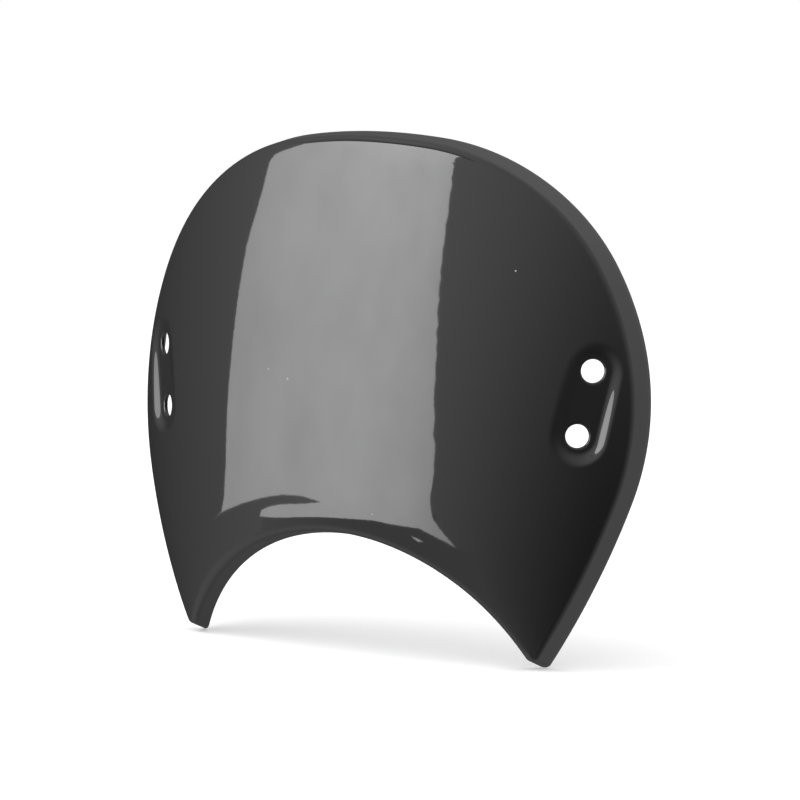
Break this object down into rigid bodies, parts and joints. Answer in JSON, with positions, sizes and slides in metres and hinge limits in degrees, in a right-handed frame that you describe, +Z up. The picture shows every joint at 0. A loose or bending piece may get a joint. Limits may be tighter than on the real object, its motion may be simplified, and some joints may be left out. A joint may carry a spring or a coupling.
{
  "type": "headlight cowl",
  "caption": "Gloss black moulded headlight cowl: a domed front panel with a rim turned back all round, an arched lower edge over a round lamp and a dished, drilled pad on each side.",
  "frame": {"origin": "centre of the part's bounding box", "axes": "+Z up as fitted, front of the cowl towards -Y, +X to the viewer's right in a front view; mirror plane X = 0"},
  "size_m": [0.25, 0.0568, 0.226],
  "materials": {
    "gloss_black": "gloss"
  },
  "bodies": {
    "root": {"cowl": "gloss_black"}
  },
  "joints": []
}
